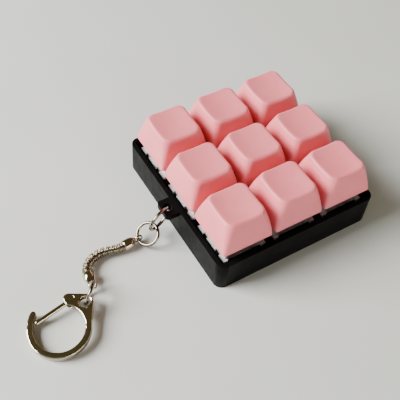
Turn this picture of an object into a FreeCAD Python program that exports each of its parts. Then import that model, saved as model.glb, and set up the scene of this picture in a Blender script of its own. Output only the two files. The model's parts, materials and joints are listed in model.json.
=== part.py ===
"""Nine-key switch fidget keychain, modelled as its separate pieces, in millimetres.

Frame: the origin is the centre of the case's underside, +Z is up, +X and +Y run along the
case's edges. The keyring tab stands out of the -X wall, and the keychain lies beyond it.
"""
import FreeCAD, Part
import math
import os

import Sketcher
from FreeCAD import Placement, Rotation, Vector

DRIVING = {
    # case
    "pitch": 19.05, "case_size": 60.0, "case_height": 11.5, "case_corner": 3.0, "wall": 1.6,
    "deck_top": 8.5, "deck_thick": 1.5, "cutout": 14.0, "edge_break": 0.4,
    "cover_thick": 1.4, "cover_gap": 0.15, "boss_radius": 2.6, "boss_offset": 9.525,
    "screw_radius": 0.95, "screw_gap": 0.05, "screw_length": 5.0, "screw_head_radius": 1.8,
    "screw_head_height": 0.9, "drive_span": 1.2, "drive_slot": 0.24, "drive_depth": 0.6,
    "tab_reach": 4.5, "tab_width": 7.0, "tab_thick": 2.0, "tab_shift": -1.5, "tab_corner": 1.2,
    "tab_hole_radius": 1.5, "tab_hole_reach": 2.3,
    # switch
    "flange_size": 15.6, "flange_thick": 1.0, "notch_width": 2.2, "notch_depth": 0.9,
    "notch_spread": 3.6, "body_size": 13.9, "body_depth": 5.0, "body_cavity": 12.0,
    "window_face": 5.9, "window_flange": 12.4, "window_body": 11.4, "window_low": 5.0,
    "window_rise": 2.3, "window_top_face": 5.0, "floor_thick": 1.0, "post_radius": 1.5,
    "post_rise": 2.4, "top_rise": 6.6,
    "top_upper": 10.8, "top_wall": 1.0, "top_inner": 9.2, "slider_width": 7.0, "slider_depth": 6.0,
    "slider_gap": 0.3, "wing_width": 8.6, "slider_bottom": 8.8, "wing_gap": 0.25,
    "slider_bore": 2.4, "bore_roof": 13.0, "cross_span": 4.1, "cross_arm": 1.25,
    "cross_rise": 3.6, "travel": 4.0, "coil_radius": 1.98, "coil_wire": 0.16,
    "coil_turns": 7.0, "coil_segment": 0.25,
    "leaf_width": 4.0, "leaf_thick": 0.3, "leaf_bottom": 4.5, "leaf_top": 8.2, "leaf_place": 4.6,
    "leaf_spread": 2.5, "leg_width": 1.2, "leg_drop": 1.4, "leg_gap": 0.1,
    # keycap
    "cap_skirt": 14.5, "cap_height": 10.7, "cap_base": 18.1, "cap_middle": 16.7,
    "cap_top": 13.4, "cap_middle_rise": 4.6, "base_corner": 0.9, "middle_corner": 1.7,
    "top_corner": 2.6, "dish_radius": 34.0, "cap_round": 0.8, "cavity_base": 15.3,
    "cavity_rise": 8.2, "cavity_top": 11.0, "cap_post_radius": 2.75, "cap_post_lift": 0.7,
    "post_overlap": 0.5, "socket_depth": 3.9, "socket_gap": 0.05,
    # rings, chain and end caps
    "wire_radius": 0.55, "lug_ring_radius": 4.4, "link_ring_radius": 3.65,
    "clasp_ring_radius": 3.65, "ring_sweep": 356.0, "chain_axis": 1.85, "link_pitch": 1.84,
    "link_radius": 1.6, "link_face": 0.9, "link_chamfer": 0.3, "link_groove": 0.22,
    "ball_radius": 0.6, "ball_inset": 0.3, "ball_gap": 0.06, "neck_radius": 0.35,
    "link_clear": 0.34, "barrel_radius": 1.85, "barrel_length": 3.2, "tongue_root": 1.9,
    "eye_reach": 5.4,
    "eye_radius": 1.65, "eye_hole": 1.05, "eye_thick": 0.9,
    # snap hook
    "loop_radius": 7.5, "bar_width": 1.9, "hook_thick": 2.4, "hook_tilt": 5.0,
    "ear_reach": 10.7, "ear_radius": 2.7, "ear_hole": 1.6, "ear_chamfer": 0.5,
    "nose_curve": 10.9, "nose_angle": 121.5, "head_radius": 1.5, "gate_radius": 0.75,
    "gate_slot": 0.15, "slot_reach": 4.8, "knuckle_radius": 0.9, "knuckle_half": 0.62,
    "pin_radius": 0.5, "pin_gap": 0.05, "gate_open": 28.0, "torsion_radius": 0.7,
    "torsion_wire": 0.1, "torsion_lift": 0.03, "torsion_sweep": 210.0,
}

LINK_HEADINGS = (178, 168, 165, 172, 183, 197, 212, 228, 245)   # degrees, from cap a to cap b
CAP_A_EYE = (-43.2, -1.8)
CAP_A_HEADING = 185        # from the eye towards the chain
CAP_B_HEADING = 262        # from the chain towards the eye
CAP_A_ROLL = 90            # turns the eye's hole from upright to level
CAP_B_ROLL = -33
LINK_RISES = (0, 0, 0, 0, 0, 0, 1, 3, 5)   # degrees, the last links climb onto the clasp ring
CAP_B_RISE = 6
RING_POSES = {             # centre, then the ring's normal
    "lug_ring": ((-35.65, -2.4, 8.5), (0.34, -0.93, -0.16)),
    "link_ring": ((-40.2, -2.7, 3.6), (-0.56, -0.20, 0.81)),
    "clasp_ring": ((-65.8, -13.9, 4.12), (-0.72, 0.65, 0.25)),
}
HOOK_CENTRE = (-78.1, -19.75)
EAR_ANGLE = 22             # degrees, from the loop's centre to the ring hole
HEAD_PLACE = (6.1, 7.7)    # rounded head over the gate's knuckle, from the loop's centre
GATE_PIVOT = (7.2, 7.1)
GATE_TIP = (-5.0, 5.3)
SHOULDER = (6.3, -5.6, 0.95)   # place and radius where the ear runs out into the loop
LOOP_SPAN = (180, 410)     # degrees, the round part of the loop, from the nose to the head

doc = FreeCAD.newDocument("fidget_keychain")
sheet = doc.addObject("Spreadsheet::Sheet", "dims")
for row, (alias, value) in enumerate(DRIVING.items(), start=1):
    sheet.set(f"A{row}", alias)
    sheet.set(f"B{row}", str(value))
    sheet.setAlias(f"B{row}", alias)
doc.recompute()

SUB_PARTS = []
SAME = 0.01                # mm, closer than this counts as the same place


def dim(alias):
    """The sheet's value of one driving dimension."""
    return float(sheet.get(alias))


def keep(piece, label, place=None):
    """Name a finished sub-part and put it where it belongs."""
    piece.Label = label
    if place is not None:
        piece.Placement = place
    SUB_PARTS.append(piece)
    return piece


def bind(piece, **expressions):
    """Tie properties to the sheet: names such as d.pitch stand for dims.pitch."""
    for name, text in expressions.items():
        path = name.replace("__", ".")
        piece.setExpression(path, str(text).replace("d.", "dims."))
    return piece


def box(name, length, width, height, x=None, y=None, z="0"):
    """A box centred on X and Y unless told otherwise, standing on z."""
    piece = doc.addObject("Part::Box", name)
    x = x if x is not None else "0"
    y = y if y is not None else "0"
    return bind(piece, Length=length, Width=width, Height=height,
                Placement__Base__x=f"({x}) - ({length}) / 2",
                Placement__Base__y=f"({y}) - ({width}) / 2", Placement__Base__z=z)


def rod(name, radius, height, x="0", y="0", z="0"):
    """An upright cylinder."""
    piece = doc.addObject("Part::Cylinder", name)
    return bind(piece, Radius=radius, Height=height, Placement__Base__x=x,
                Placement__Base__y=y, Placement__Base__z=z)


def cone(name, low, high, height, x="0", y="0", z="0"):
    """An upright cone frustum."""
    piece = doc.addObject("Part::Cone", name)
    return bind(piece, Radius1=low, Radius2=high, Height=height, Placement__Base__x=x,
                Placement__Base__y=y, Placement__Base__z=z)


def frustum(name, low, high, height, z="0"):
    """A square frustum, centred, with its big face down."""
    piece = doc.addObject("Part::Wedge", name)
    return bind(piece, Xmin=f"-({low}) / 2", Xmax=f"({low}) / 2", Ymin="0", Ymax=height,
                Zmin=f"-({low}) / 2", Zmax=f"({low}) / 2", X2min=f"-({high}) / 2",
                X2max=f"({high}) / 2", Z2min=f"-({high}) / 2", Z2max=f"({high}) / 2",
                Placement__Base__z=z, Placement__Rotation__Angle="90",
                Placement__Rotation__Axis__x="1", Placement__Rotation__Axis__z="0")


def fuse(name, pieces):
    """Join pieces into one."""
    joined = doc.addObject("Part::MultiFuse", name)
    joined.Shapes = pieces
    return joined


def cut(name, base, tools):
    """Take the tools out of the base."""
    tool = tools[0] if len(tools) == 1 else fuse(f"{name}_tools", tools)
    piece = doc.addObject("Part::Cut", name)
    piece.Base = base
    piece.Tool = tool
    return piece


def round_edges(name, base, radius, wanted):
    """Fillet the edges of base that the test picks."""
    doc.recompute()
    piece = doc.addObject("Part::Fillet", name)
    piece.Base = base
    numbers = [i + 1 for i, edge in enumerate(base.Shape.Edges) if wanted(edge)]
    piece.Edges = [(number, dim(radius), dim(radius)) for number in numbers]
    return piece


def is_upright_corner(reach):
    """Test for an upright straight edge at the outer corners of a square of this half size."""
    def test(edge):
        span = edge.BoundBox
        upright = span.XLength < SAME and span.YLength < SAME
        return upright and all(abs(abs(low) - reach) < SAME for low in (span.XMin, span.YMin))
    return test


def key_places():
    """Row and column names with the key's centre, front row first."""
    names = "abc"
    for row in range(3):
        for column in range(3):
            yield f"{names[row]}{column + 1}", column - 1, row - 1


# ---------------------------------------------------------------- case

def make_case():
    """Tray with its deck, screw bosses and keyring tab."""
    outer = box("tray_block", "d.case_size", "d.case_size", "d.case_height")
    inner = "d.case_size - 2 * d.wall"
    low = box("under_deck", inner, inner, "d.deck_top - d.deck_thick")
    high = box("over_deck", inner, inner, "d.case_height - d.deck_top", z="d.deck_top")
    corners = round_edges("tray_corners", outer, "case_corner",
                          is_upright_corner(dim("case_size") / 2))
    shell = cut("tray_shell", corners, [low, high])
    windows = [box(f"window_{name}", "d.cutout", "d.cutout", "d.case_height",
                   x=f"{i} * d.pitch", y=f"{j} * d.pitch", z="d.cover_thick")
               for name, i, j in key_places()]
    deck = cut("tray_deck", shell, windows)
    bosses = [rod(f"boss_{i}_{j}".replace("-", "n"), "d.boss_radius",
                  "d.deck_top - d.deck_thick - d.cover_thick", x=f"{i} * d.boss_offset",
                  y=f"{j} * d.boss_offset", z="d.cover_thick") for i in (-1, 1) for j in (-1, 1)]
    tab = box("tab_plate", "d.tab_reach + d.wall", "d.tab_width", "d.tab_thick",
              x="-d.case_size / 2 - d.tab_reach / 2 + d.wall / 2", y="d.tab_shift",
              z="d.case_height - d.tab_thick")
    free_end = -dim("case_size") / 2 - dim("tab_reach")
    tab = round_edges("tab_rounded", tab, "tab_corner",
                      lambda edge: edge.BoundBox.ZLength > SAME and edge.BoundBox.XMax < free_end + SAME)
    body = fuse("tray_body", [deck, tab] + bosses)
    pilots = [rod(f"pilot_{i}_{j}".replace("-", "n"), "d.screw_radius + d.screw_gap",
                  "d.screw_length", x=f"{i} * d.boss_offset", y=f"{j} * d.boss_offset",
                  z="d.cover_thick") for i in (-1, 1) for j in (-1, 1)]
    hole = rod("tab_hole", "d.tab_hole_radius", "3 * d.tab_thick",
               x="-d.case_size / 2 - d.tab_hole_reach", y="d.tab_shift",
               z="d.case_height - 2 * d.tab_thick")
    keep(cut("case_frame", body, pilots + [hole]), "case_frame")


def make_cover():
    """Inset cover with countersunk holes, and its screws."""
    side = "d.case_size - 2 * d.wall - 2 * d.cover_gap"
    plate = box("cover_plate", side, side, "d.cover_thick")
    holes = []
    screws = []
    for i in (-1, 1):
        for j in (-1, 1):
            tag = f"{i}_{j}".replace("-", "n")
            x, y = f"{i} * d.boss_offset", f"{j} * d.boss_offset"
            holes.append(rod(f"cover_hole_{tag}", "d.screw_radius + d.screw_gap",
                             "2 * d.cover_thick", x, y, "-d.cover_thick / 2"))
            holes.append(cone(f"cover_sink_{tag}", "d.screw_head_radius + d.screw_gap",
                              "d.screw_radius + d.screw_gap", "d.screw_head_height", x, y))
            shank = rod(f"shank_{tag}", "d.screw_radius", "d.screw_length", x, y)
            head = cone(f"head_{tag}", "d.screw_head_radius", "d.screw_radius",
                        "d.screw_head_height", x, y)
            drive = box(f"drive_{tag}", "d.drive_span", "d.drive_slot", "d.drive_depth",
                        x=x, y=y)
            cross = box(f"drive_cross_{tag}", "d.drive_slot", "d.drive_span",
                        "d.drive_depth", x=x, y=y)
            blank = fuse(f"screw_blank_{tag}", [shank, head])
            screws.append(cut(f"screw_{tag}", blank, [drive, cross]))
    keep(cut("bottom_cover", plate, holes), "bottom_cover")
    group = doc.addObject("Part::Compound", "cover_screws")
    group.Links = screws
    keep(group, "cover_screws")


# ---------------------------------------------------------------- switches

def make_base(name, i, j):
    """Lower switch housing: flanged box, hollow, with the spring's post."""
    x, y = f"{i} * d.pitch", f"{j} * d.pitch"
    low = "d.deck_top - d.body_depth"
    flange = box(f"flange_{name}", "d.flange_size", "d.flange_size", "d.flange_thick", x, y,
                 "d.deck_top")
    body = box(f"body_{name}", "d.body_size", "d.body_size", "d.body_depth", x, y, low)
    cavity = box(f"cavity_{name}", "d.body_cavity", "d.body_cavity", "2 * d.body_depth", x, y,
                 f"{low} + d.floor_thick")
    post = rod(f"post_{name}", "d.post_radius", "d.post_rise + d.floor_thick", x, y, low)
    notches = [box(f"notch_{name}_{side}_{place}".replace("-", "n"), "2 * d.notch_depth",
                   "d.notch_width", "2 * d.flange_thick",
                   x=f"{x} + {side} * d.flange_size / 2", y=f"{y} + {place} * d.notch_spread",
                   z="d.deck_top") for side in (-1, 1) for place in (-1, 1)]
    slots = [box(f"leg_slot_{name}_{side}".replace("-", "n"), "d.leg_width + 2 * d.leg_gap",
                 "d.leaf_thick + 2 * d.leg_gap", "2 * d.floor_thick",
                 x=f"{x} + {side} * d.leaf_spread",
                 y=f"{y} + d.leaf_place", z=f"{low} - d.floor_thick / 2") for side in (-1, 1)]
    windows = [front_window(f"lamp_{name}", "d.window_flange", "d.window_face", "d.deck_top",
                            "2 * d.flange_thick", x, y),
               front_window(f"lamp_low_{name}", "d.window_body", "d.window_face", "d.window_low",
                            "d.deck_top", x, y)]
    tools = [cavity] + notches + slots + windows
    shell = cut(f"hollow_{name}", fuse(f"blank_{name}", [flange, body]), tools)
    return fuse(f"base_{name}", [shell, post])


def front_window(name, width, face, low, height, x="0", y="0"):
    """Cutter for the open lamp window in a switch's front wall, from a depth outwards."""
    return box(name, width, "d.body_size", height, x, f"({y}) - ({face}) - d.body_size / 2", low)


def make_contacts(name, i, j):
    """The two contact leaves of one switch, with their trimmed legs."""
    leaves = []
    for side in (-1, 1):
        tag = f"{name}_{side}".replace("-", "n")
        x, y = f"{i} * d.pitch + {side} * d.leaf_spread", f"{j} * d.pitch + d.leaf_place"
        leaf = box(f"leaf_{tag}", "d.leaf_width", "d.leaf_thick", "d.leaf_top - d.leaf_bottom", x, y,
                   "d.leaf_bottom")
        leg = box(f"leg_{tag}", "d.leg_width", "d.leaf_thick", "d.leg_drop + d.floor_thick", x, y,
                  "d.leaf_bottom - d.leg_drop - d.floor_thick")
        leaves.append(fuse(f"contact_{tag}", [leaf, leg]))
    return leaves


def make_top(name, place):
    """Upper switch housing: hollow frustum with the slider's opening."""
    floor = "d.deck_top + d.flange_thick"
    rise = "d.top_rise - d.flange_thick"
    outer = frustum(f"top_outer_{name}", "d.body_size", "d.top_upper", rise, floor)
    inner = frustum(f"top_inner_{name}", "d.body_cavity", "d.top_inner",
                    f"{rise} - d.top_wall", floor)
    mouth = box(f"mouth_{name}", "d.slider_width + 2 * d.slider_gap",
                "d.slider_depth + 2 * d.slider_gap", "d.top_rise", z=floor)
    window = front_window(f"lamp_top_{name}", "d.window_body", "d.window_top_face",
                          f"{floor} - d.window_rise", "2 * d.window_rise")
    keep(cut(f"top_{name}", outer, [inner, mouth, window]), f"switch_top_{name}", place)


def make_stem(name, place):
    """Slider with its retaining wings, spring bore and cross."""
    top = "d.deck_top + d.top_rise"
    block = box(f"slider_{name}", "d.slider_width", "d.slider_depth", f"{top} - d.slider_bottom",
                z="d.slider_bottom")
    wings = box(f"wings_{name}", "d.wing_width", "d.slider_depth",
                f"{top} - d.top_wall - d.wing_gap - d.slider_bottom", z="d.slider_bottom")
    arm_x = box(f"arm_x_{name}", "d.cross_span", "d.cross_arm", "d.cross_rise", z=top)
    arm_y = box(f"arm_y_{name}", "d.cross_arm", "d.cross_span", "d.cross_rise", z=top)
    bore = rod(f"bore_{name}", "d.slider_bore", "d.bore_roof - d.slider_bottom",
               z="d.slider_bottom")
    blank = fuse(f"stem_blank_{name}", [block, wings, arm_x, arm_y])
    keep(cut(f"stem_solid_{name}", blank, [bore]), f"stem_{name}", place)


def make_spring(name, place):
    """Return spring: one round wire wound on a helix between the floor and the bore's roof."""
    foot = "d.deck_top - d.body_depth + d.floor_thick + d.coil_wire"
    helix = doc.addObject("Part::Helix", f"coil_path_{name}")
    height = f"d.bore_roof - d.coil_wire - ({foot})"
    bind(helix, Height=height, Pitch=f"({height}) / d.coil_turns", Radius="d.coil_radius",
         SegmentLength="d.coil_segment")
    wire = doc.addObject("Part::Circle", f"coil_section_{name}")
    bind(wire, Radius="d.coil_wire", Placement__Base__x="d.coil_radius",
         Placement__Rotation__Angle="90", Placement__Rotation__Axis__x="1",
         Placement__Rotation__Axis__z="0")
    sweep = doc.addObject("Part::Sweep", f"coil_{name}")
    sweep.Sections = [wire]
    sweep.Spine = helix
    sweep.Solid = True
    sweep.Frenet = True
    doc.recompute()
    raised = Placement(Vector(0, 0, foot_height()), Rotation())
    keep(sweep, f"spring_{name}", place.multiply(raised))


def foot_height():
    """Height of the spring's lowest wire centre."""
    return dim("deck_top") - dim("body_depth") + dim("floor_thick") + dim("coil_wire")


# ---------------------------------------------------------------- keycaps

def on_base_plane(body, kind, name):
    """A new feature of the body, attached to its XY plane."""
    feature = body.newObject(kind, name)
    plane = [f for f in body.Origin.OriginFeatures if f.Role == "XY_Plane"][0]
    feature.AttachmentSupport = [(plane, "")]
    feature.MapMode = "FlatFace"
    return feature


def rounded_square(body, name, size, corner, height):
    """A sketch of a square with round corners, parallel to the XY plane."""
    sketch = on_base_plane(body, "Sketcher::SketchObject", name)
    sketch.setExpression("AttachmentOffset.Base.z", height.replace("d.", "dims."))
    half, radius = dim(size) / 2, dim(corner)
    near = half - radius
    ends = ((-near, -half, near, -half), (half, -near, half, near),
            (near, half, -near, half), (-half, near, -half, -near))
    for x1, y1, x2, y2 in ends:
        sketch.addGeometry(Part.LineSegment(Vector(x1, y1, 0), Vector(x2, y2, 0)))
    for index, (x, y) in enumerate(((near, -near), (near, near), (-near, near), (-near, -near))):
        circle = Part.Circle(Vector(x, y, 0), Vector(0, 0, 1), radius)
        start = math.radians(-90 + 90 * index)
        sketch.addGeometry(Part.ArcOfCircle(circle, start, start + math.pi / 2))
    add_square_rules(sketch, size, corner)
    return sketch


def add_square_rules(sketch, size, corner):
    """Constraints that hold the rounded square centred, with its size and corner on the sheet."""
    rule = Sketcher.Constraint
    for side in range(4):
        sketch.addConstraint(rule("Tangent", side, 2, 4 + side, 1))
        sketch.addConstraint(rule("Tangent", 4 + side, 2, (side + 1) % 4, 1))
    for side in range(4):
        sketch.addConstraint(rule("Horizontal" if side % 2 == 0 else "Vertical", side))
    for arc in range(5, 8):
        sketch.addConstraint(rule("Equal", 4, arc))
    sketch.addConstraint(rule("Symmetric", 0, 1, 2, 1, -1, 1))
    radius = sketch.addConstraint(rule("Radius", 4, dim(corner)))
    width = sketch.addConstraint(rule("DistanceX", 3, 1, 1, 1, dim(size)))
    depth = sketch.addConstraint(rule("DistanceY", 0, 1, 2, 1, dim(size)))
    sketch.setExpression(f"Constraints[{radius}]", f"dims.{corner}")
    sketch.setExpression(f"Constraints[{width}]", f"dims.{size}")
    sketch.setExpression(f"Constraints[{depth}]", f"dims.{size}")


def make_keycap(name, place):
    """Dished keycap: a lofted shell with a cross-socket post inside."""
    body = doc.addObject("PartDesign::Body", f"keycap_body_{name}")
    top = "d.cap_skirt + d.cap_height"
    low = rounded_square(body, f"cap_low_{name}", "cap_base", "base_corner", "d.cap_skirt")
    middle = rounded_square(body, f"cap_mid_{name}", "cap_middle", "middle_corner",
                            "d.cap_skirt + d.cap_middle_rise")
    high = rounded_square(body, f"cap_high_{name}", "cap_top", "top_corner", top)
    loft = body.newObject("PartDesign::AdditiveLoft", f"cap_loft_{name}")
    loft.Profile = low
    loft.Sections = [middle, high]
    doc.recompute()
    dish = on_base_plane(body, "PartDesign::SubtractiveSphere", f"cap_dish_{name}")
    corner_reach = (dim("cap_top") / 2 - dim("top_corner")) * math.sqrt(2) + dim("top_corner")
    sag = dim("dish_radius") - math.sqrt(dim("dish_radius") ** 2 - corner_reach ** 2)
    bind(dish, Radius="d.dish_radius",
         AttachmentOffset__Base__z=f"{top} + d.dish_radius - {sag}")
    doc.recompute()
    rim = [f"Edge{i + 1}" for i, e in enumerate(dish.Shape.Edges) if is_rim(dish.Shape, e)]
    fillet = body.newObject("PartDesign::Fillet", f"cap_round_{name}")
    fillet.Base = (dish, rim)
    bind(fillet, Radius="d.cap_round")
    body.Tip = fillet
    doc.recompute()
    hollow_keycap(body, name, top)
    keep(body, f"keycap_{name}", place)


def is_rim(shape, edge):
    """Whether an edge borders the dish's spherical face."""
    faces = [f for f in shape.Faces if any(e.isSame(edge) for e in f.Edges)]
    kinds = [type(f.Surface).__name__ for f in faces]
    return kinds.count("Sphere") == 1


def hollow_keycap(body, name, top):
    """Cut the cavity, then add the post and cut its cross socket."""
    low = rounded_square(body, f"cave_low_{name}", "cavity_base", "base_corner", "d.cap_skirt")
    high = rounded_square(body, f"cave_high_{name}", "cavity_top", "middle_corner",
                          "d.cap_skirt + d.cavity_rise")
    cavity = body.newObject("PartDesign::SubtractiveLoft", f"cavity_{name}")
    cavity.Profile = low
    cavity.Sections = [high]
    post = on_base_plane(body, "PartDesign::AdditiveCylinder", f"cap_post_{name}")
    bind(post, Radius="d.cap_post_radius", Height="d.cavity_rise - d.cap_post_lift + d.post_overlap",
         AttachmentOffset__Base__z="d.cap_skirt + d.cap_post_lift")
    for tag, length, width in (("x", "cross_span", "cross_arm"), ("y", "cross_arm", "cross_span")):
        slot = on_base_plane(body, "PartDesign::SubtractiveBox", f"socket_{tag}_{name}")
        bind(slot, Length=f"d.{length} + 2 * d.socket_gap", Width=f"d.{width} + 2 * d.socket_gap",
             Height="d.socket_depth",
             AttachmentOffset__Base__x=f"-(d.{length} / 2 + d.socket_gap)",
             AttachmentOffset__Base__y=f"-(d.{width} / 2 + d.socket_gap)",
             AttachmentOffset__Base__z="d.cap_skirt + d.cap_post_lift")
        body.Tip = slot
    doc.recompute()


# ---------------------------------------------------------------- keychain

def ring_place(name):
    """Placement of a ring: its centre, with its axis along its normal and its split on top."""
    centre, normal = RING_POSES[name]
    return Placement(Vector(*centre), Rotation(Vector(0, 0, 1), Vector(*normal)))


def make_ring(name):
    """Split jump ring of round wire."""
    ring = doc.addObject("Part::Torus", f"{name}_wire")
    bind(ring, Radius1=f"d.{name}_radius", Radius2="d.wire_radius", Angle3="d.ring_sweep")
    keep(ring, name, ring_place(name))


def heading(degrees, rise=0):
    """Unit vector of a heading, climbing by a rise."""
    turn = Rotation(Vector(0, 0, 1), degrees).multiply(Rotation(Vector(0, 1, 0), -rise))
    return turn.multVec(Vector(1, 0, 0))


def along(point, degrees, rise=0, roll=0):
    """Placement at a point, with local X along a heading and a rise, and a roll about it."""
    turn = Rotation(Vector(0, 0, 1), degrees).multiply(Rotation(Vector(0, 1, 0), -rise))
    return Placement(point, turn.multiply(Rotation(Vector(1, 0, 0), roll)))


def turned(edges):
    """Solid made by turning a closed outline in the XY plane about the X axis."""
    return Part.Face(Part.Wire(edges)).revolve(Vector(0, 0, 0), Vector(1, 0, 0), 360)


def lines(points):
    """Straight edges through (x, radius) points."""
    spots = [Vector(x, radius, 0) for x, radius in points]
    return [Part.LineSegment(a, b).toShape() for a, b in zip(spots, spots[1:])]


def arc_edge(centre_x, radius, start, end):
    """Arc of a sphere's outline between two angles in degrees, either way round."""
    spots = []
    for angle in (start, (start + end) / 2, end):
        turn = math.radians(angle)
        spots.append(Vector(centre_x + radius * math.cos(turn), radius * math.sin(turn), 0))
    return Part.Arc(*spots).toShape()


def ball_and_neck(rear):
    """Outline of the ball behind a link and its neck, and the point where it ends."""
    radius, neck = dim("ball_radius"), dim("neck_radius")
    join = math.degrees(math.asin(neck / radius))
    ball = arc_edge(0, radius, 180, join)
    foot = (radius * math.cos(math.radians(join)), neck)
    return [ball] + lines([foot, (rear, neck)])


def socket_outline(centre_x, front):
    """Outline of a ball socket, from its mouth in the front face to the axis."""
    radius = dim("ball_radius") + dim("ball_gap")
    mouth = math.degrees(math.acos((front - centre_x) / radius))
    edge = arc_edge(centre_x, radius, mouth, 180)
    return edge, (front, radius * math.sin(math.radians(mouth)))


def link_shape():
    """One chain link: a grooved body with a ball behind and a ball socket in front."""
    pitch, radius, face = dim("link_pitch"), dim("link_radius"), dim("link_face")
    rear = dim("ball_inset") + dim("link_clear")
    front = pitch + dim("ball_inset")
    chamfer, groove = dim("link_chamfer"), dim("link_groove")
    middle = (rear + front) / 2
    socket, mouth = socket_outline(pitch, front)
    skin = lines([(rear, dim("neck_radius")), (rear, face), (rear + chamfer, radius),
                  (middle - groove, radius), (middle, radius - groove), (middle + groove, radius),
                  (front - chamfer, radius), (front, face), mouth])
    floor = pitch - dim("ball_radius") - dim("ball_gap")
    axis = lines([(floor, 0), (-dim("ball_radius"), 0)])
    return turned(ball_and_neck(rear) + skin + [socket] + axis)


def eye_plate(reach):
    """Flat tongue with a round eye, flat across Z, running from the barrel to the eye."""
    radius, thick = dim("eye_radius"), dim("eye_thick")
    root = dim("tongue_root")
    tongue = Part.makeBox(reach - root, 2 * radius, thick, Vector(root, -radius, -thick / 2))
    disc = Part.makeCylinder(radius, thick, Vector(reach, 0, -thick / 2))
    hole = Part.makeCylinder(dim("eye_hole"), 2 * thick, Vector(reach, 0, -thick))
    return tongue.fuse(disc).cut(hole)


def cap_shape(with_ball):
    """Crimped end cap, local X from the chain joint to the eye."""
    radius, length = dim("barrel_radius"), dim("barrel_length")
    face, chamfer, thin = dim("link_face"), dim("link_chamfer"), dim("eye_thick") / 2
    end = length + 2 * chamfer
    if with_ball:
        rear = dim("ball_inset") + dim("link_clear")
        start = ball_and_neck(rear) + lines([(rear, dim("neck_radius")), (rear, face)])
        tail = -dim("ball_radius")
    else:
        rear = -dim("ball_inset")
        tail = dim("ball_radius") + dim("ball_gap")
        socket, mouth = cap_socket(rear)
        start = [socket] + lines([mouth, (rear, face)])
    skin = lines([(rear, face), (rear + chamfer, radius), (length - chamfer, radius),
                  (end, thin), (end, 0), (tail, 0)])
    return turned(start + skin).fuse(eye_plate(dim("eye_reach"))).removeSplitter()


def cap_socket(rear):
    """Outline of the socket behind cap a, from the axis to its mouth in the rear face."""
    radius = dim("ball_radius") + dim("ball_gap")
    mouth = math.degrees(math.acos(rear / radius))
    edge = arc_edge(0, radius, 0, mouth)
    return edge, (rear, radius * math.sin(math.radians(mouth)))


def solid_feature(label, shape, place):
    """A Part::Feature for a shape that no primitive or sketch feature suits."""
    piece = doc.addObject("Part::Feature", f"{label}_solid")
    piece.Shape = shape
    return keep(piece, label, place)


def make_chain():
    """Both end caps and the links between them, following the headings."""
    level = dim("chain_axis")
    eye = Vector(CAP_A_EYE[0], CAP_A_EYE[1], level)
    joint = eye + heading(CAP_A_HEADING) * dim("eye_reach")
    place = along(joint, CAP_A_HEADING + 180, roll=CAP_A_ROLL)
    solid_feature("chain_cap_a", cap_shape(False), place)
    for index, (degrees, rise) in enumerate(zip(LINK_HEADINGS, LINK_RISES), start=1):
        solid_feature(f"chain_link_{index}", link_shape(), along(joint, degrees, rise))
        joint = joint + heading(degrees, rise) * dim("link_pitch")
    place = along(joint, CAP_B_HEADING, CAP_B_RISE, CAP_B_ROLL)
    solid_feature("chain_cap_b", cap_shape(True), place)


# ---------------------------------------------------------------- snap hook

def polar(radius, degrees):
    """Point at a radius and angle from the loop's centre."""
    return Vector(radius * math.cos(math.radians(degrees)),
                  radius * math.sin(math.radians(degrees)), 0)


def belt(circles):
    """Closed wire stretched round circles (x, y, radius) listed anticlockwise."""
    spans = []
    for here, after in zip(circles, circles[1:] + circles[:1]):
        gap = Vector(after[0] - here[0], after[1] - here[1], 0)
        lean = math.asin((here[2] - after[2]) / gap.Length)
        out = math.atan2(gap.y, gap.x) - math.pi / 2 + lean
        side = Vector(math.cos(out), math.sin(out), 0)
        spans.append((Vector(here[0], here[1], 0) + side * here[2],
                      Vector(after[0], after[1], 0) + side * after[2]))
    edges = []
    for index, (start, end) in enumerate(spans):
        x, y, radius = circles[index]
        arrive = spans[index - 1][1]
        bulge = ((arrive + start) * 0.5 - Vector(x, y, 0)).normalize() * radius
        edges.append(Part.Arc(arrive, Vector(x, y, 0) + bulge, start).toShape())
        edges.append(Part.LineSegment(start, end).toShape())
    return Part.Wire(edges)


def slab(wire, thick, low=0.0):
    """Solid of a flat closed wire, standing on a height."""
    solid = Part.Face(wire).extrude(Vector(0, 0, thick))
    solid.translate(Vector(0, 0, low))
    return solid


def bar_arc(centre, radius, width, first, last, thick):
    """Flat bar of constant width along an arc between two angles."""
    inner, outer = radius - width / 2, radius + width / 2
    tube = Part.makeCylinder(outer, thick, centre, Vector(0, 0, 1), last - first)
    core = Part.makeCylinder(inner, thick, centre)
    solid = tube.cut(core)
    solid.rotate(centre, Vector(0, 0, 1), first)
    return solid


def hook_body_shape():
    """Snap hook casting: round loop, outward nose, and the ear with its ring hole."""
    loop, width, thick = dim("loop_radius"), dim("bar_width"), dim("hook_thick")
    centre_line = loop + width / 2
    ring = bar_arc(Vector(0, 0, 0), centre_line, width, *LOOP_SPAN, thick)
    curve = dim("nose_curve")
    nose_centre = Vector(curve - centre_line, 0, 0)
    reach = polar(1, dim("nose_angle"))
    tip_turn = math.degrees(math.asin(nose_centre.x * reach.y / curve))
    last = dim("nose_angle") + tip_turn
    nose = bar_arc(nose_centre, curve, width, last, LOOP_SPAN[0], thick)
    tip = nose_centre + polar(curve, last)
    nose_end = Part.makeCylinder(width / 2, thick, tip)
    ear = polar(dim("ear_reach"), EAR_ANGLE)
    head = (HEAD_PLACE[0], HEAD_PLACE[1], dim("head_radius"))
    outline = belt([SHOULDER, (ear.x, ear.y, dim("ear_radius")), head])
    web = slab(outline, thick).cut(Part.makeCylinder(loop, thick))
    casting = ring.fuse([nose, nose_end, web]).removeSplitter()
    return casting.cut([ear_hole_shape(ear, thick), gate_slot_shape(thick)])


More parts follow.
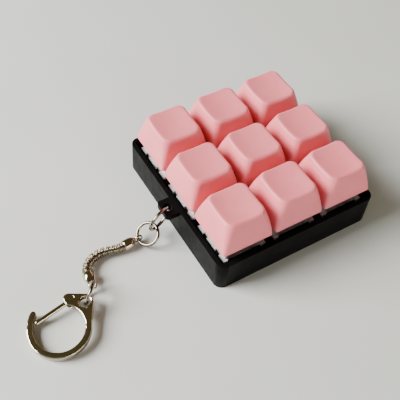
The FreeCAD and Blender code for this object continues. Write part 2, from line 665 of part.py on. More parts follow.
def ear_hole_shape(ear, thick):
    """Cutter for the ring hole, chamfered on both faces."""
    radius, chamfer = dim("ear_hole"), dim("ear_chamfer")
    bore = Part.makeCylinder(radius, thick, ear)
    low = Part.makeCone(radius + chamfer, radius, chamfer, ear)
    high = Part.makeCone(radius, radius + chamfer, chamfer, ear + Vector(0, 0, thick - chamfer))
    pin = Vector(GATE_PIVOT[0], GATE_PIVOT[1], 0)
    pin_hole = Part.makeCylinder(dim("pin_radius"), thick, pin)
    return bore.fuse([low, high, pin_hole])


def gate_angle():
    """Heading of the closed gate from its pivot to its tip, in degrees."""
    return math.degrees(math.atan2(GATE_TIP[1] - GATE_PIVOT[1], GATE_TIP[0] - GATE_PIVOT[0]))


def gate_slot_shape(thick):
    """Cutter for the slot that the gate's knuckle and rod swing in."""
    room = dim("knuckle_radius") + 2 * dim("gate_slot")
    high = 2 * dim("gate_radius") + 2 * dim("gate_slot")
    low = (thick - high) / 2
    pivot = Vector(GATE_PIVOT[0], GATE_PIVOT[1], 0)
    closed = gate_angle()
    away = dim("slot_reach")
    ends = [pivot + polar(away, closed), pivot + polar(away, closed + dim("gate_open"))]
    circles = [(pivot.x, pivot.y, room)] + [(p.x, p.y, dim("gate_radius") + dim("gate_slot"))
                                           for p in ends]
    return slab(belt(circles), high, low)


def gate_shape():
    """Round gate rod with its knuckle, in the hook's own frame."""
    thick = dim("hook_thick")
    pivot = Vector(GATE_PIVOT[0], GATE_PIVOT[1], thick / 2)
    run = Vector(GATE_TIP[0] - GATE_PIVOT[0], GATE_TIP[1] - GATE_PIVOT[1], 0)
    length = run.Length
    rod_shape = Part.makeCylinder(dim("gate_radius"), length, pivot, run)
    tip = Part.makeSphere(dim("gate_radius"), pivot + run)
    flat = dim("knuckle_half")
    knuckle = Part.makeCylinder(dim("knuckle_radius"), 2 * flat, pivot - Vector(0, 0, flat))
    hole = Part.makeCylinder(dim("pin_radius") + dim("pin_gap"), 2 * thick,
                             Vector(pivot.x, pivot.y, -thick / 2))
    return rod_shape.fuse([tip, knuckle]).cut(hole)


def make_gate_spring(place):
    """Turn of spring wire round the pin, above the knuckle, open on the rod's side."""
    wire, sweep = dim("torsion_wire"), dim("torsion_sweep")
    level = dim("hook_thick") / 2 + dim("knuckle_half") + dim("torsion_lift") + wire
    coil = Part.makeTorus(dim("torsion_radius"), wire, Vector(0, 0, 0), Vector(0, 0, 1),
                          -180, 180, sweep)
    first = gate_angle() + dim("gate_open") / 2 + (360 - sweep) / 2
    spot = Placement(Vector(GATE_PIVOT[0], GATE_PIVOT[1], level), Rotation(Vector(0, 0, 1), first))
    solid_feature("gate_spring", coil, place.multiply(spot))


def hook_place():
    """The hook lies on its loop, with its ear lifted by the ring beneath it."""
    tilt_axis = heading(EAR_ANGLE).cross(Vector(0, 0, 1))
    tilt = Rotation(tilt_axis, dim("hook_tilt"))
    far = dim("loop_radius") + dim("bar_width")
    lift = far * math.sin(math.radians(dim("hook_tilt")))
    return Placement(Vector(HOOK_CENTRE[0], HOOK_CENTRE[1], lift), tilt)


def make_hook():
    """Snap hook, its gate, the gate's pin and spring."""
    place = hook_place()
    thick = dim("hook_thick")
    pivot = Vector(GATE_PIVOT[0], GATE_PIVOT[1], 0)
    solid_feature("clasp_body", hook_body_shape(), place)
    solid_feature("clasp_gate", gate_shape(), place)
    solid_feature("gate_pin", Part.makeCylinder(dim("pin_radius"), thick, pivot), place)
    make_gate_spring(place)


# ---------------------------------------------------------------- assembly

def make_switches():
    """All nine switches with their caps."""
    bases, contacts = [], []
    for name, i, j in key_places():
        place = Placement(Vector(i * dim("pitch"), j * dim("pitch"), 0), Rotation())
        bases.append(make_base(name, i, j))
        contacts += make_contacts(name, i, j)
        make_top(name, place)
        make_stem(name, place)
        make_spring(name, place)
        make_keycap(name, place)
    for label, pieces in (("switch_bases", bases), ("switch_contacts", contacts)):
        group = doc.addObject("Part::Compound", label)
        group.Links = pieces
        keep(group, label)


def check_document():
    """Stop if any object failed or any sub-part has no valid shape."""
    bad = [o.Label for o in doc.Objects if "Invalid" in o.State or "Error" in o.State]
    bad += [p.Label for p in SUB_PARTS if p.Shape.isNull() or not p.Shape.isValid()]
    if bad:
        raise RuntimeError("failed objects: " + ", ".join(bad))


def export_parts():
    """Write one STEP file for each sub-part."""
    os.makedirs("parts", exist_ok=True)
    for piece in SUB_PARTS:
        piece.Shape.exportStep(f"parts/{piece.Label}.step")


make_case()
make_cover()
make_switches()
for ring_name in RING_POSES:
    make_ring(ring_name)
make_chain()
make_hook()
doc.recompute()
check_document()
export_parts()
print(len(SUB_PARTS), "sub-parts")
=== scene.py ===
"""Looks of the nine-key fidget keychain, in metres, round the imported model."""
import json
import math

import bmesh
import bpy
import numpy
from mathutils import Matrix, Vector


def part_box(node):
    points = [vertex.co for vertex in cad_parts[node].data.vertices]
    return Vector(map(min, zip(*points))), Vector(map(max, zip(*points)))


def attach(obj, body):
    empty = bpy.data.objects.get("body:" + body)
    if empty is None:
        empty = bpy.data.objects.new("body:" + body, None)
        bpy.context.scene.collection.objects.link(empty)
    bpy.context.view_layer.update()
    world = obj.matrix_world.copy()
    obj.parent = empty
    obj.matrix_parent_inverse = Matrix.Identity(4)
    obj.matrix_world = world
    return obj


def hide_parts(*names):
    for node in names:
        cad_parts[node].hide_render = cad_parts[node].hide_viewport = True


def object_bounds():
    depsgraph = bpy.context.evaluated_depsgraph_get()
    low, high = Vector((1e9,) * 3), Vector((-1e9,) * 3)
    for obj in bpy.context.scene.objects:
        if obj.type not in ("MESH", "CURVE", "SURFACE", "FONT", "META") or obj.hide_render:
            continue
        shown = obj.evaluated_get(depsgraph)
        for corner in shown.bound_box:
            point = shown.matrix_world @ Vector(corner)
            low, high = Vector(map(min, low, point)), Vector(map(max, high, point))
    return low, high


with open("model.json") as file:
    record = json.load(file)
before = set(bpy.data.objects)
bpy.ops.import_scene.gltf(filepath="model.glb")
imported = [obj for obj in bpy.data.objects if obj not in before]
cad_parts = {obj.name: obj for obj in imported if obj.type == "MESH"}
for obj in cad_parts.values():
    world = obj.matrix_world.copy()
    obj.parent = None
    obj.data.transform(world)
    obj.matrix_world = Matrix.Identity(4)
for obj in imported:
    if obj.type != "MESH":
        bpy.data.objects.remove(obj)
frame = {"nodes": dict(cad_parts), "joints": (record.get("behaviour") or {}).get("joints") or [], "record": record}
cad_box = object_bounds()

MM = 0.001
NODES = frame["nodes"]
SLOTS = {s["node"]: s["material_slot"] for s in frame["record"]["subparts"]}


# ---------------------------------------------------------------- materials

class Maker:
    """Builds one procedural material round a Principled shader."""

    def __init__(self, name, **constants):
        self.material = bpy.data.materials.new(name)
        self.material.use_nodes = True
        self.tree = self.material.node_tree
        self.shader = self.tree.nodes["Principled BSDF"]
        self.set(self.shader, **constants)
        self.coords = self.node("ShaderNodeTexCoord")

    def node(self, kind, **values):
        """A new node, with its input sockets or its own settings filled in."""
        made = self.tree.nodes.new(kind)
        self.set(made, **values)
        return made

    def set(self, node, **values):
        """Fill sockets named in lower case with underscores, or plain settings of the node."""
        for key, value in values.items():
            words = key.replace("_", " ")
            sockets = [i for i in node.inputs if i.name.lower() == words and i.enabled]
            if sockets:
                sockets[0].default_value = value
            else:
                setattr(node, key, value)

    def link(self, source, target):
        """Join two sockets."""
        self.tree.links.new(source, target)

    def noise(self, scale, detail=3.0, roughness=0.5, stretch=None):
        """Noise in the object's own metres, with features about 1 / scale across."""
        source = self.coords.outputs["Object"]
        if stretch is not None:
            mapping = self.node("ShaderNodeMapping")
            mapping.inputs["Scale"].default_value = stretch
            self.link(source, mapping.inputs["Vector"])
            source = mapping.outputs["Vector"]
        made = self.node("ShaderNodeTexNoise", scale=scale, detail=detail, roughness=roughness)
        self.link(source, made.inputs["Vector"])
        return made.outputs["Fac"]

    def ramp(self, source, stops):
        """Colour ramp of (position, colour) stops."""
        made = self.node("ShaderNodeValToRGB")
        band = made.color_ramp
        while len(band.elements) < len(stops):
            band.elements.new(0.5)
        for element, (position, colour) in zip(band.elements, stops):
            element.position = position
            element.color = (*colour, 1.0)
        self.link(source, made.inputs["Fac"])
        return made.outputs["Color"]

    def spread(self, source, low, high):
        """Map 0.3 to 0.7 of a source onto low to high."""
        made = self.node("ShaderNodeMapRange")
        for key, value in (("From Min", 0.3), ("From Max", 0.7), ("To Min", low), ("To Max", high)):
            made.inputs[key].default_value = value
        self.link(source, made.inputs["Value"])
        return made.outputs["Result"]

    def bump(self, source, depth, strength=1.0, after=None):
        """Bump of a depth in metres; returns its normal."""
        made = self.node("ShaderNodeBump", strength=strength, distance=depth)
        self.link(source, made.inputs["Height"])
        if after is not None:
            self.link(after, made.inputs["Normal"])
        return made.outputs["Normal"]

    def finish(self, colour=None, roughness=None, normal=None):
        """Wire the results into the shader."""
        for key, source in (("Base Color", colour), ("Roughness", roughness), ("Normal", normal)):
            if source is not None:
                self.link(source, self.shader.inputs[key])
        return self.material


def moulded(name, low, high, rough, grain, depth, **constants):
    """Moulded plastic: slow colour drift, fine spark grain and a little sheen drift."""
    m = Maker(name, **constants)
    colour = m.ramp(m.noise(140, 4), [(0.3, low), (0.7, high)])
    roughness = m.spread(m.noise(420, 4), *rough)
    normal = m.bump(m.noise(grain, 3, 0.6), depth)
    normal = m.bump(m.noise(60, 2), depth * 8, 0.35, after=normal)
    return m.finish(colour, roughness, normal)


def plated(name, low, high, rough, **constants):
    """Plated metal: faint tone drift, hairline scratches and a slightly uneven surface."""
    m = Maker(name, metallic=1.0, **constants)
    colour = m.ramp(m.noise(260, 5, 0.6), [(0.32, low), (0.68, high)])
    roughness = m.spread(m.noise(900, 6, 0.7), *rough)
    normal = m.bump(m.noise(1500, 4, 0.7, stretch=(1.0, 0.12, 1.0)), 0.004 * MM, 0.5)
    normal = m.bump(m.noise(170, 2), 0.05 * MM, 0.5, after=normal)
    return m.finish(colour, roughness, normal)


MATERIALS = {
    "case_plastic": moulded("case_plastic", (0.0028, 0.0030, 0.0030), (0.0048, 0.0050, 0.0050),
                            (0.34, 0.46), 5200, 0.006 * MM, ior=1.11),
    "keycap_plastic": moulded("keycap_plastic", (0.79, 0.192, 0.225), (0.83, 0.215, 0.25),
                              (0.40, 0.50), 4600, 0.008 * MM, subsurface_weight=0.2,
                              subsurface_radius=(1.0, 0.35, 0.35), subsurface_scale=0.7 * MM,
                              specular_ior_level=0.4),
    "stem_plastic": moulded("stem_plastic", (0.74, 0.74, 0.72), (0.80, 0.80, 0.78),
                            (0.28, 0.40), 3800, 0.004 * MM),
    "switch_plastic": moulded("switch_plastic", (0.76, 0.77, 0.76), (0.82, 0.83, 0.82),
                              (0.22, 0.34), 3800, 0.004 * MM, subsurface_weight=0.3,
                              subsurface_radius=(1.0, 1.0, 1.0), subsurface_scale=0.8 * MM),
    "contact_brass": plated("contact_brass", (0.66, 0.44, 0.16), (0.78, 0.56, 0.25),
                            (0.22, 0.34)),
    "spring_steel": plated("spring_steel", (0.42, 0.42, 0.43), (0.58, 0.58, 0.58),
                           (0.22, 0.36)),
    "plated_metal": plated("plated_metal", (0.40, 0.355, 0.265), (0.49, 0.445, 0.35),
                           (0.07, 0.15)),
}


# plated_metal again, painted darker on the chain and the rings: a painted dark reflection, where a lower base
# colour stands in for the dim room that they reflect
LOOKS = {
    "chain_painted_dark_reflection": plated("chain_painted_dark_reflection", (0.24, 0.205, 0.135), (0.34, 0.30, 0.215),
                         (0.12, 0.22)),
    "ring_painted_dark_reflection": plated("ring_painted_dark_reflection", (0.17, 0.145, 0.115), (0.27, 0.235, 0.19),
                        (0.08, 0.16)),
}


def dress(piece, slot_name):
    """Give a piece the material of its slot."""
    piece.data.materials.clear()
    piece.data.materials.append(MATERIALS[slot_name])


def soften(piece, width, segments=2, angle=32):
    """Round a CAD node's sharp edges as a moulded or plated edge is."""
    weld = piece.modifiers.new("weld", "WELD")
    weld.merge_threshold = 0.001 * MM
    bevel = piece.modifiers.new("edge_round", "BEVEL")
    bevel.width = width * MM
    bevel.segments = segments
    bevel.limit_method = "ANGLE"
    bevel.angle_limit = math.radians(angle)
    bevel.harden_normals = True


def melt(piece, grain, passes):
    """Round every edge of a cast CAD node by refining its surface and relaxing it."""
    cast = piece.modifiers.new("fine_surface", "REMESH")
    cast.mode = "VOXEL"
    cast.voxel_size = grain * MM
    cast.use_smooth_shade = True
    relaxed = piece.modifiers.new("edge_round", "SMOOTH")
    relaxed.factor = 0.5
    relaxed.iterations = passes


for node_name, node in NODES.items():
    dress(node, SLOTS[node_name])


# ---------------------------------------------------------------- pieces modelled as meshes

JOINTS = {j["name"]: j for j in frame["joints"]}
BENDS = [Vector(JOINTS[f"bend_{i}"]["pos_m"]) for i in range(1, 11)]

# chain sizes in mm
LINK_RADIUS, GROOVE, SEAM_RADIUS, PITCH = 1.6, 1.12, 1.10, 1.84
RIBS, RIB_STEPS, RIB_SHOULDER, RIB_POWER = 2, 14, 0.2, 0.45
BALL, BALL_GAP, NECK = 0.6, 0.06, 0.35
INSET, CLEAR = 0.3, 0.34              # socket face ahead of the ball's centre, then the free gap
EYE_REACH, EYE_MEAN, EYE_WIRE, EYE_HALF = 5.4, 1.35, 0.30, 0.45

# end cap outline: (x, half width, half height, power of its rounded section)
CRIMP = [(0.15, 1.62, 1.62, 2.0), (0.40, 1.80, 1.80, 2.0), (0.75, 1.85, 1.85, 2.0),
         (2.0, 1.85, 1.85, 2.0), (2.55, 1.83, 1.78, 2.0), (3.0, 1.80, 1.50, 2.1),
         (3.4, 1.74, 1.08, 2.3), (3.8, 1.62, 0.72, 2.6), (4.15, 1.35, 0.52, 2.8),
         (4.28, 0.9, 0.40, 2.6), (4.3, 0.0, 0.0, 2.0)]
CRIMP_SHIFT_END = 2.0                 # sections before this x shift with the cap's rear face
# end cap: (index of its bend, heading, rise, roll), angles in degrees
CAP_POSES = {"chain_cap_a": (0, 5, 0, 90), "chain_cap_b": (9, 262, 6, -33)}

# jump rings: wire radius in mm, sweep in degrees, and mean radii in mm
RING_WIRE, RING_SWEEP = 0.55, 356
RING_MEANS = {"lug_ring": 4.4, "link_ring": 3.65, "clasp_ring": 3.65}


def place_along(point, heading, rise=0, roll=0):
    """Matrix at a point, local X along a heading and rise in degrees, rolled about it."""
    turn = (Matrix.Rotation(math.radians(heading), 4, "Z")
            @ Matrix.Rotation(math.radians(-rise), 4, "Y")
            @ Matrix.Rotation(math.radians(roll), 4, "X"))
    return Matrix.Translation(point) @ turn @ Matrix.Scale(MM, 4)


def add_piece(name, verts, faces, body, slot_name, *nodes, look=None):
    """A finished mesh piece that stands for CAD nodes and rides on their body."""
    mesh = bpy.data.meshes.new(name)
    mesh.from_pydata(verts, [], faces)
    shell = bmesh.new()
    shell.from_mesh(mesh)
    bmesh.ops.recalc_face_normals(shell, faces=shell.faces)
    shell.to_mesh(mesh)
    shell.free()
    for face in mesh.polygons:
        face.use_smooth = True
    piece = bpy.data.objects.new(name, mesh)
    bpy.context.scene.collection.objects.link(piece)
    mesh.materials.append(LOOKS[look] if look else MATERIALS[slot_name])
    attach(piece, body)
    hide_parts(*nodes)
    return piece


def loft(sections, sides=56):
    """Vertices and faces through (x, half width, half height, power) sections, open ones closed."""
    verts, faces, rings = [], [], []
    for x, wide, high, power in sections:
        if wide < 1e-6:
            rings.append([len(verts)])
            verts.append(Vector((x, 0, 0)))
            continue
        rings.append(list(range(len(verts), len(verts) + sides)))
        for k in range(sides):
            turn = 2 * math.pi * k / sides
            c, s = math.cos(turn), math.sin(turn)
            verts.append(Vector((x, wide * math.copysign(abs(c) ** (2 / power), c),
                                 high * math.copysign(abs(s) ** (2 / power), s))))
    for a, b in zip(rings, rings[1:]):
        for k in range(sides):
            n = (k + 1) % sides
            if len(a) == 1 and len(b) > 1:
                faces.append((a[0], b[k], b[n]))
            elif len(b) == 1:
                faces.append((a[k], a[n], b[0]))
            else:
                faces.append((a[k], a[n], b[n], b[k]))
    return verts, faces


def round_profile(points):
    """Turned (x, radius) points as round sections."""
    return [(x, radius, radius, 2.0) for x, radius in points]


def arc_points(centre, radius, first, last, steps=9):
    """Points of a circle's outline between two angles in degrees."""
    turns = [math.radians(first + (last - first) * k / steps) for k in range(steps + 1)]
    return [(centre + radius * math.cos(t), abs(radius * math.sin(t))) for t in turns]


def ball_start():
    """Outline of a link's ball, from the axis to the foot of its neck."""
    join = math.degrees(math.asin(NECK / BALL))
    return arc_points(0, BALL, 180, join)


def socket_end(centre):
    """Outline of a socket, from its mouth to the axis."""
    radius = BALL + BALL_GAP
    mouth = math.degrees(math.acos(INSET / radius))
    return arc_points(centre, radius, mouth, 180)


def make_links():
    """Chain links, each with two rounded ribs, a ball behind and a socket in front."""
    rear, front = INSET + CLEAR, PITCH + INSET
    skin = [(rear, NECK), (rear, SEAM_RADIUS)]
    for step in range(1, RIBS * RIB_STEPS + 1):
        rib, k = divmod(step, RIB_STEPS)
        if rib == RIBS:
            rib, k = RIBS - 1, RIB_STEPS
        t = k / RIB_STEPS
        x = rear + (front - rear) * (rib + t) / RIBS
        low = SEAM_RADIUS if rib + t == RIBS else GROOVE
        share = min(max((t - RIB_SHOULDER) / (1 - 2 * RIB_SHOULDER), 0.0), 1.0)
        swell = math.sin(math.pi * share) ** RIB_POWER if 0 < share < 1 else 0.0
        skin.append((x, low + (LINK_RADIUS - low) * swell))
    outline = ball_start() + skin + socket_end(PITCH)
    verts, faces = loft(round_profile(outline))
    for index, (here, after) in enumerate(zip(BENDS, BENDS[1:]), start=1):
        run = after - here
        heading = math.degrees(math.atan2(run.y, run.x))
        rise = math.degrees(math.atan2(run.z, math.hypot(run.x, run.y)))
        place = place_along(here, heading, rise)
        # the links take the darker copy of plated_metal, a painted dark reflection
        add_piece(f"ribbed_link_{index}", [place @ v for v in verts], faces, f"link_{index}",
                  "plated_metal", f"chain_link_{index}", look="chain_painted_dark_reflection")


def eye_ring(sides=40, around=16):
    """Closed ring of oval section round the eye's hole."""
    verts, faces = [], []
    for i in range(sides):
        turn = 2 * math.pi * i / sides
        for k in range(around):
            lean = 2 * math.pi * k / around
            radius = EYE_MEAN + EYE_WIRE * math.cos(lean)
            verts.append(Vector((EYE_REACH + radius * math.cos(turn), radius * math.sin(turn),
                                 EYE_HALF * math.sin(lean))))
    for i in range(sides):
        n = (i + 1) % sides
        for k in range(around):
            m = (k + 1) % around
            faces.append((i * around + k, n * around + k, n * around + m, i * around + m))
    return verts, faces


def make_caps():
    """Folded end caps: a round crimp that flattens into an eye."""
    socket = arc_points(0, BALL + BALL_GAP, 0, 117) + [(-INSET, 1.45)]
    neck = ball_start() + [(INSET + CLEAR, NECK), (INSET + CLEAR, SEAM_RADIUS)]
    starts = {"chain_cap_a": (socket, -INSET, "cap_a"),
              "chain_cap_b": (neck, INSET + CLEAR, "cap_b")}
    for name, (index, heading, rise, roll) in CAP_POSES.items():
        start, rear, body = starts[name]
        sections = round_profile(start)
        sections += [(x + rear * max(0, 1 - x / CRIMP_SHIFT_END), wide, high, power)
                     for x, wide, high, power in CRIMP]
        verts, faces = loft(sections)
        more, more_faces = eye_ring()
        faces += [tuple(i + len(verts) for i in face) for face in more_faces]
        place = place_along(BENDS[index], heading, rise, roll)
        add_piece(f"folded_{name[6:]}", [place @ v for v in verts + more], faces, body,
                  "plated_metal", name)


def make_rings():
    """Split jump rings of round wire, with softly cut ends."""
    sides, around = 96, 20
    sweep, wire = math.radians(RING_SWEEP), RING_WIRE * MM
    for name, mean in RING_MEANS.items():
        low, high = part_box(name)
        centre = (Vector(low) + Vector(high)) / 2
        cloud = numpy.array([v.co[:] for v in NODES[name].data.vertices])
        normal = Vector(numpy.linalg.svd(cloud - cloud.mean(axis=0))[2][2])
        away = centre - Vector(cloud.mean(axis=0))
        away -= normal * away.dot(normal)
        split = away.normalized()
        side = normal.cross(split)
        verts, faces = [], []
        stations = [(-1, 0.0), (0, 0.75), (0.3, 0.95)] + [(k, 1.0) for k in range(1, sides)]
        stations += [(sides - 0.3, 0.95), (sides, 0.75), (sides + 1, 0.0)]
        for step, swell in stations:
            share = min(max(step, 0), sides) / sides
            turn = (2 * math.pi - sweep) / 2 + sweep * share
            out = split * math.cos(turn) + side * math.sin(turn)
            if swell == 0.0:
                verts.append(centre + out * mean * MM)
                continue
            for k in range(around):
                lean = 2 * math.pi * k / around
                verts.append(centre + out * (mean * MM + wire * swell * math.cos(lean))
                             + normal * wire * swell * math.sin(lean))
        rings = len(stations) - 2
        for ring in range(rings - 1):
            base = 1 + ring * around
            for k in range(around):
                n = (k + 1) % around
                faces.append((base + k, base + n, base + around + n, base + around + k))
        last = len(verts) - 1
        for k in range(around):
            n = (k + 1) % around
            faces.append((0, 1 + n, 1 + k))
            faces.append((last, last - around + k, last - around + n))
        # the rings take the darker copy of plated_metal, a painted dark reflection
        add_piece(f"round_{name}", verts, faces, name, "plated_metal", name, look="ring_painted_dark_reflection")


# keycap sizes in mm: (height over the skirt, half width, corner radius)
CAP_LEVELS = ((0.0, 9.05, 0.9), (4.6, 8.35, 1.7), (10.7, 6.7, 2.6))
CAVE_LEVELS = ((0.0, 7.65, 0.9), (8.2, 5.5, 1.7))
DISH, RIM, SKIRT_ROUND = 34.0, 0.8, 0.2
CORNER_STEPS, SIDE_STEPS = 8, 10
CAVE_STEPS, WALL_STEPS, RIM_STEPS, DISH_STEPS = 6, 9, 6, 9
RIM_CORNER_SHARE = 0.6                # how much of the rim's radius its corners lose
# the post inside a cap, in mm: radius, lower and upper end, where the cross ends, its arms
POST_RADIUS, POST_LOW, POST_HIGH, CROSS_FLOOR = 2.75, 0.7, 8.5, 4.6
CROSS_LONG, CROSS_SHORT = 4.2, 1.35


def blended(levels, height):
    """Half width and corner at a height, on the smooth curve through the levels."""
    values = []
    for column in (1, 2):
        total = 0.0
        for i, level in enumerate(levels):
            share = 1.0
            for j, other in enumerate(levels):
                if j != i:
                    share *= (height - other[0]) / (level[0] - other[0])
            total += share * level[column]
        values.append(total)
    return values


def square_ring(half, corner):
    """Points round a square with round corners, the same number at every size."""
    near = half - corner
    points = []
    for quarter in range(4):
        turn = Matrix.Rotation(math.radians(90 * quarter), 2)
        for k in range(SIDE_STEPS):
            points.append(turn @ Vector((half, near * (2 * k / SIDE_STEPS - 1))))
        for k in range(CORNER_STEPS):
            lean = math.radians(90) * k / CORNER_STEPS
            points.append(turn @ Vector((near + corner * math.cos(lean),
                                         near + corner * math.sin(lean))))
    return points


def dish_height(x, y):
    """Height of the dished top over the skirt."""
    top, half, corner = CAP_LEVELS[-1]
    reach = (half - corner) * math.sqrt(2) + corner
    return top + math.sqrt(DISH ** 2 - reach ** 2) - math.sqrt(DISH ** 2 - x * x - y * y)


def skirt_rings():
    """Rings of one keycap's shell, from the cavity's roof round the skirt to the rim."""
    roof, roof_half = CAVE_LEVELS[-1][:2]
    rings = []
    for share in (0.08, 0.5):
        half = roof_half * share
        rings.append([(x, y, roof) for x, y in square_ring(half, half * 0.3)])
    for k in range(CAVE_STEPS + 1):
        height = roof * (1 - k / CAVE_STEPS)
        half, corner = blended(CAVE_LEVELS, height)
        rings.append([(x, y, height) for x, y in square_ring(half, corner)])
    for lean in (0, 30, 60, 90):
        inset = SKIRT_ROUND * (1 - math.sin(math.radians(lean)))
        height = SKIRT_ROUND - SKIRT_ROUND * math.cos(math.radians(lean))
        half, corner = blended(CAP_LEVELS, height)
        rings.append([(x, y, height) for x, y in square_ring(half - inset, corner)])
    outline = square_ring(*blended(CAP_LEVELS, CAP_LEVELS[-1][0]))
    for k in range(1, WALL_STEPS + 1):
        ring = []
        for index, (top_x, top_y) in enumerate(outline):
            top = dish_height(top_x, top_y) - RIM
            height = SKIRT_ROUND + (top - SKIRT_ROUND) * (k / WALL_STEPS)
            x, y = square_ring(*blended(CAP_LEVELS, height))[index]
            ring.append((x, y, height))
        rings.append(ring)
    return rings


def top_rings():
    """Rings of one keycap's top, from the foot of its rolled rim to the middle of the dish."""
    half_top, corner_top = blended(CAP_LEVELS, CAP_LEVELS[-1][0])
    outline = square_ring(half_top, corner_top)
    rings = []
    for k in range(1, RIM_STEPS + 1):
        lean = math.radians(90 / RIM_STEPS * k)
        drop, inset = RIM * (1 - math.sin(lean)), RIM * (1 - math.cos(lean))
        ring = []
        for index, (top_x, top_y) in enumerate(outline):
            half, corner = blended(CAP_LEVELS, dish_height(top_x, top_y) - drop)
            x, y = square_ring(half - inset, max(corner - inset, 0.2))[index]
            ring.append((x, y, dish_height(x, y) - drop))
        rings.append(ring)
    for k in range(1, DISH_STEPS):
        share = 1 - k / DISH_STEPS
        inner = square_ring((half_top - RIM) * share, (corner_top - RIM * RIM_CORNER_SHARE) * share)
        rings.append([(x, y, dish_height(x, y)) for x, y in inner])
    return rings


def make_keycaps():
    """Nine dished keycaps with round rims, hollow below."""
    rings = skirt_rings() + top_rings()
    count = len(rings[0])
    verts = [Vector(point) for ring in rings for point in ring]
    faces = [tuple(range(count))]
    for ring in range(len(rings) - 1):
        base = ring * count
        for k in range(count):
            n = (k + 1) % count
            faces.append((base + k, base + n, base + count + n, base + count + k))
    verts.append(Vector((0, 0, dish_height(0, 0))))
    base = (len(rings) - 1) * count
    faces += [(base + k, base + (k + 1) % count, len(verts) - 1) for k in range(count)]
    post_verts, post_faces = keycap_post()
    faces += [tuple(i + len(verts) for i in face) for face in post_faces]
    verts += post_verts
    for name in sorted(n for n in NODES if n.startswith("keycap_")):
        key = name[7:]
        low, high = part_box(name)
        shift = Vector(((low[0] + high[0]) / 2, (low[1] + high[1]) / 2, low[2]))
        add_piece(f"dished_cap_{key}", [v * MM + shift for v in verts], faces, f"key_{key}",
                  "keycap_plastic", name)


def keycap_post():
    """Post inside a keycap with its blind cross socket."""
    long, short = CROSS_LONG / 2, CROSS_SHORT / 2
    sides = 32
    turns = [2 * math.pi * k / sides for k in range(sides)]
    corner = math.atan2(short, long)
    for quarter in range(4):
        turns += [quarter * math.pi / 2 + t for t in (corner, -corner, math.pi / 4)]
    turns = sorted({round(t % (2 * math.pi), 6) for t in turns})
    rim, cross = [], []
    for turn in turns:
        c, s = math.cos(turn), math.sin(turn)
        flat = min(long / max(abs(c), 1e-9), short / max(abs(s), 1e-9))
        tall = min(short / max(abs(c), 1e-9), long / max(abs(s), 1e-9))
        rim.append((POST_RADIUS * c, POST_RADIUS * s))
        cross.append((max(flat, tall) * c, max(flat, tall) * s))
    levels = [(rim, POST_HIGH), (rim, POST_LOW), (cross, POST_LOW), (cross, CROSS_FLOOR)]
    verts = [Vector((x, y, z)) for outline, z in levels for x, y in outline]
    count = len(turns)
    faces = [tuple(range(count)), tuple(range(3 * count, 4 * count))]
    for ring in range(3):
        for k in range(count):
            n = (k + 1) % count
            base = ring * count
            faces.append((base + k, base + n, base + count + n, base + count + k))
    return verts, faces


SMALL_ROUND, CASE_ROUND = 0.12, 0.22              # edge rounds in mm
CAST_GRAIN, CAST_PASSES = 0.14, 36                # mm, and passes of relaxing

make_links()
make_caps()
make_rings()
make_keycaps()
melt(NODES["clasp_body"], CAST_GRAIN, CAST_PASSES)
for turned in ("gate_pin", "clasp_gate"):
    soften(NODES[turned], SMALL_ROUND, 4)
for moulding in ("case_frame", "bottom_cover"):
    soften(NODES[moulding], CASE_ROUND)
for node_name, node in NODES.items():
    if node_name.startswith(("switch_top", "switch_bases", "stem_")):
        soften(node, SMALL_ROUND)


# ---------------------------------------------------------------- camera, floor and light

CAMERA_PLACE = Vector((-100.04, -115.47, 182.43)) * MM
CAMERA_ANGLES = (-35.06, 51.42, 5.45)             # azimuth, elevation and roll in degrees
CAMERA_LENS, CAMERA_SENSOR = 61.0, 36.0           # mm
FLOOR_HALF, FLOOR_GAP = 2.0, 0.05 * MM            # m
LIT_POINT = (-0.01, -0.005, 0.01)                 # m, where the lamps aim
WINDOW_SIDE = (-0.72, -0.10, 0.0)
ROOM_STOPS = ((0.0, (0.13, 0.105, 0.045, 1)), (0.16, (0.15, 0.14, 0.11, 1)),
              (0.62, (0.60, 0.60, 0.585, 1)))

def look(camera, place, back, roll):
    """Aim a camera along minus back, turned about its own axis."""
    right = Vector((0, 0, 1)).cross(back).normalized()
    up = back.cross(right)
    across = right * math.cos(roll) + up * math.sin(roll)
    over = up * math.cos(roll) - right * math.sin(roll)
    turn = Matrix((across, over, back)).transposed()
    camera.matrix_world = Matrix.Translation(place) @ turn.to_4x4()


def make_camera():
    """Camera at the photograph's angle."""
    data = bpy.data.cameras.new("camera")
    camera = bpy.data.objects.new("camera", data)
    bpy.context.scene.collection.objects.link(camera)
    data.sensor_width = CAMERA_SENSOR
    data.lens = CAMERA_LENS
    data.clip_start, data.clip_end = 0.01, 10.0
    azimuth, elevation, roll = (math.radians(angle) for angle in CAMERA_ANGLES)
    back = Vector((math.sin(azimuth) * math.cos(elevation),
                   -math.cos(azimuth) * math.cos(elevation), math.sin(elevation)))
    look(camera, CAMERA_PLACE, back, roll)
    bpy.context.scene.camera = camera


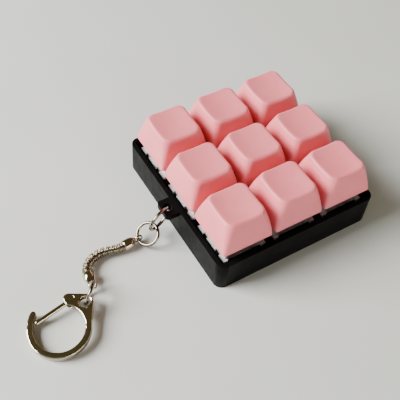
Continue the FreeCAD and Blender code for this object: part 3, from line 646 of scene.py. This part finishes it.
def make_floor():
    """Pale satin table top."""
    mesh = bpy.data.meshes.new("floor")
    corners = [(x * FLOOR_HALF, y * FLOOR_HALF, 0) for x, y in ((-1, -1), (1, -1), (1, 1), (-1, 1))]
    mesh.from_pydata(corners, [], [(0, 1, 2, 3)])
    floor = bpy.data.objects.new("floor", mesh)
    floor.location.z = cad_box[0][2] - FLOOR_GAP
    bpy.context.scene.collection.objects.link(floor)
    m = Maker("table_top")
    colour = m.ramp(m.noise(18, 3), [(0.3, (0.59, 0.60, 0.575)), (0.7, (0.62, 0.63, 0.605))])
    normal = m.bump(m.noise(900, 3), 0.01 * MM, 0.6)
    mesh.materials.append(m.finish(colour, m.spread(m.noise(40, 3), 0.42, 0.5), normal))


def area_light(name, place, target, size, power, colour):
    """Square soft box aimed at a point."""
    data = bpy.data.lights.new(name, "AREA")
    data.shape = "RECTANGLE"
    data.size, data.size_y = size
    data.energy = power
    data.color = colour
    lamp = bpy.data.objects.new(name, data)
    lamp.location = Vector(place)
    aim = Vector(target) - Vector(place)
    lamp.rotation_mode = "QUATERNION"
    lamp.rotation_quaternion = aim.to_track_quat("-Z", "Y")
    bpy.context.scene.collection.objects.link(lamp)


def make_light():
    """Broad window light from the far left and a low, faint, warm fill."""
    area_light("window", (-0.66, 0.34, 0.50), LIT_POINT, (0.5, 0.5), 26.5, (1.0, 0.995, 0.975))
    area_light("fill", (0.12, -0.85, 0.15), LIT_POINT, (0.8, 0.2), 4.5, (1.0, 0.95, 0.90))


def make_room():
    """Dim warm room that brightens towards the window's side."""
    world = bpy.data.worlds.new("room")
    bpy.context.scene.world = world
    world.use_nodes = True
    tree = world.node_tree
    background = tree.nodes["Background"]
    coords = tree.nodes.new("ShaderNodeTexCoord")
    lean = tree.nodes.new("ShaderNodeVectorMath")
    lean.operation = "DOT_PRODUCT"
    lean.inputs[1].default_value = WINDOW_SIDE
    ramp = tree.nodes.new("ShaderNodeValToRGB")
    band = ramp.color_ramp
    band.elements.new(0.5)
    for element, (position, colour) in zip(band.elements, ROOM_STOPS):
        element.position, element.color = position, colour
    tree.links.new(coords.outputs["Generated"], lean.inputs[0])
    tree.links.new(lean.outputs["Value"], ramp.inputs["Fac"])
    tree.links.new(ramp.outputs["Color"], background.inputs["Color"])
    background.inputs["Strength"].default_value = 1.0


make_camera()
make_floor()
make_light()
make_room()
